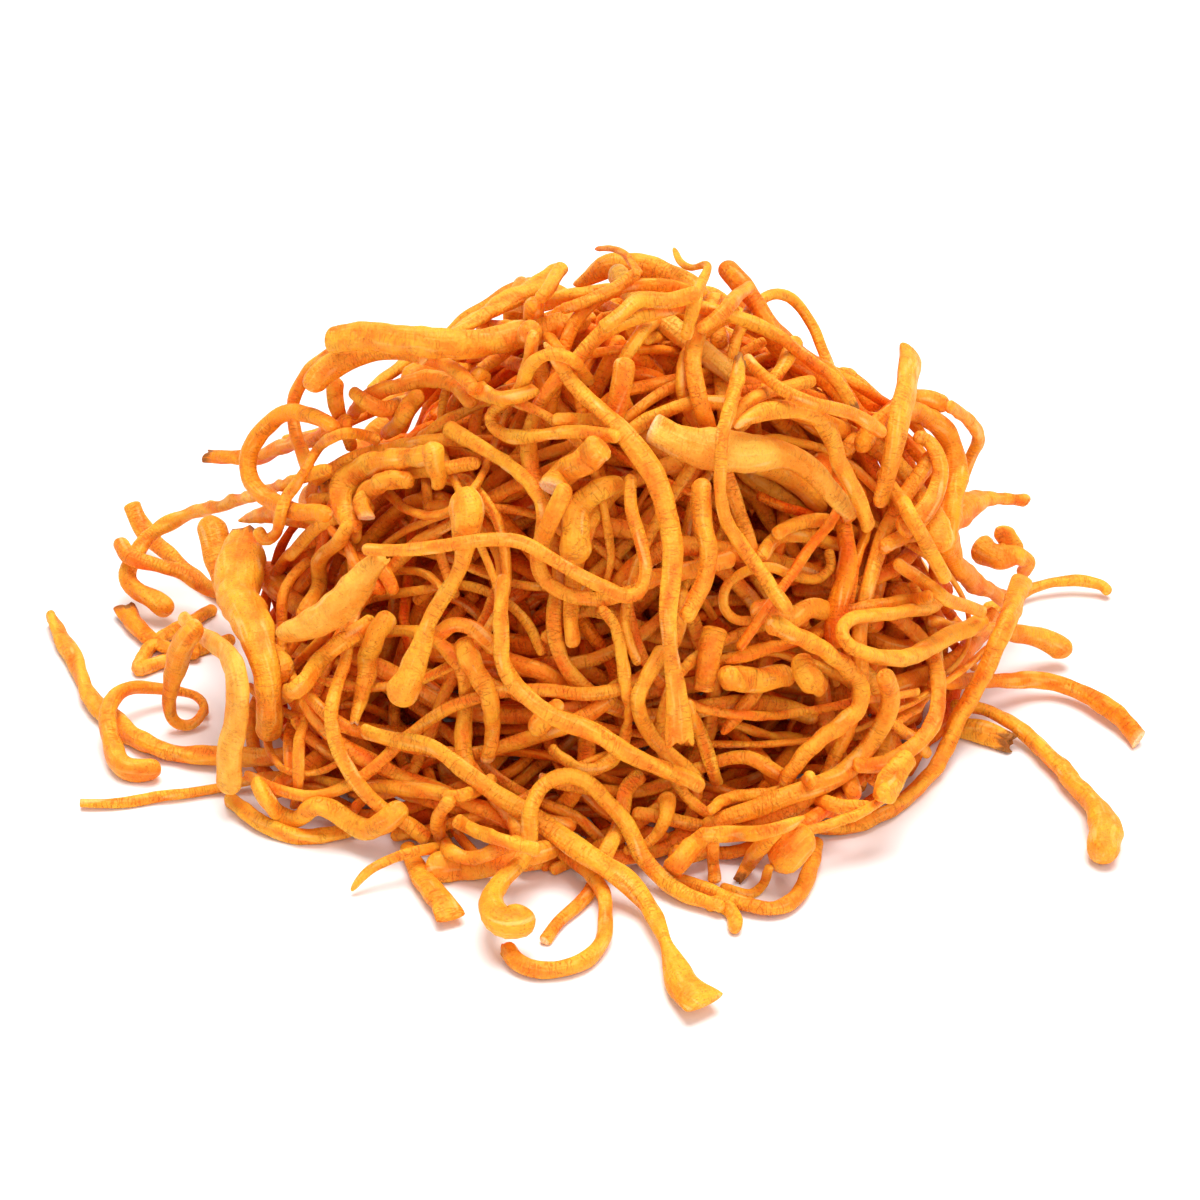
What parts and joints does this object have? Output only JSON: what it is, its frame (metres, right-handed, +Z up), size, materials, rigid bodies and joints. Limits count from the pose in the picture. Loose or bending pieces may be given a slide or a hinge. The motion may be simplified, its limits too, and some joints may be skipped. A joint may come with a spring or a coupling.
{
  "type": "cordyceps bunch",
  "caption": "Loose heap of fresh orange cultivated cordyceps: slender winding fruiting bodies, some with club heads, resting on a flat surface.",
  "frame": {"origin": "middle of the heap's footprint box, on the surface that it rests on", "axes": "+X to the right of the front view and along the heap's longest side, +Y away from the front, +Z up"},
  "size_m": [0.1672, 0.1546, 0.0698],
  "materials": {
    "fresh_flesh": "satin",
    "pale_flesh": "satin",
    "deep_flesh": "satin",
    "inner_flesh": "satin"
  },
  "bodies": {
    "root": {"inner_strands": "inner_flesh", "left_long_tail": "fresh_flesh", "low_straight_stem": "fresh_flesh", "low_arc_left": "fresh_flesh", "cut_arc_right": "deep_flesh", "clubbed_tail_right": "fresh_flesh", "thin_hook_right": "fresh_flesh", "knob_right": "fresh_flesh", "front_low_hook": "fresh_flesh", "cut_stump_front": "fresh_flesh", "thin_tip_front": "fresh_flesh", "withered_blade_left": "deep_flesh", "flat_tip_left": "fresh_flesh", "brown_tipped_stem_left": "deep_flesh", "thin_hoop_left": "fresh_flesh", "thin_club_left": "fresh_flesh", "lumpy_club_left": "fresh_flesh", "loop_left": "deep_flesh", "clubbed_arc_left": "fresh_flesh", "ball_headed_left": "fresh_flesh", "calyx_headed_left": "fresh_flesh", "pale_flat_stem_left": "pale_flesh", "club_hook_left": "fresh_flesh", "tapered_curl_left": "fresh_flesh", "thick_arch_top": "fresh_flesh", "thin_arc_right_top": "fresh_flesh", "leaning_club_top": "deep_flesh", "forked_fan_top": "fresh_flesh", "thick_stem_top_left": "fresh_flesh", "pale_ended_stem_top": "pale_flesh", "ball_with_tail_right": "fresh_flesh", "big_bend_right": "deep_flesh", "blade_right_top": "fresh_flesh", "cut_pale_trunk": "pale_flesh", "trunk_branch": "fresh_flesh", "thin_arc_over_right": "fresh_flesh", "crescent_left": "pale_flesh", "bulb_over_stem": "fresh_flesh", "centre_diagonal": "fresh_flesh", "big_bend_front": "fresh_flesh", "loop_back_right": "fresh_flesh", "sweep_right_front": "fresh_flesh", "long_diagonal_right": "fresh_flesh", "post_centre": "fresh_flesh", "dark_tipped_stem": "fresh_flesh", "front_s_wave": "fresh_flesh", "ribbon_stem": "fresh_flesh", "low_diagonal_front": "fresh_flesh", "curve_right_front": "fresh_flesh", "arch_front": "fresh_flesh", "back_tail_left": "fresh_flesh", "back_tail_right": "fresh_flesh", "back_tail_middle": "fresh_flesh", "back_low_stem": "fresh_flesh", "back_hook": "fresh_flesh", "back_shoulder_stem": "fresh_flesh", "back_crest_loop": "fresh_flesh", "back_long_ribbon": "fresh_flesh", "back_wavy_stem": "fresh_flesh", "back_club": "fresh_flesh"}
  },
  "joints": []
}
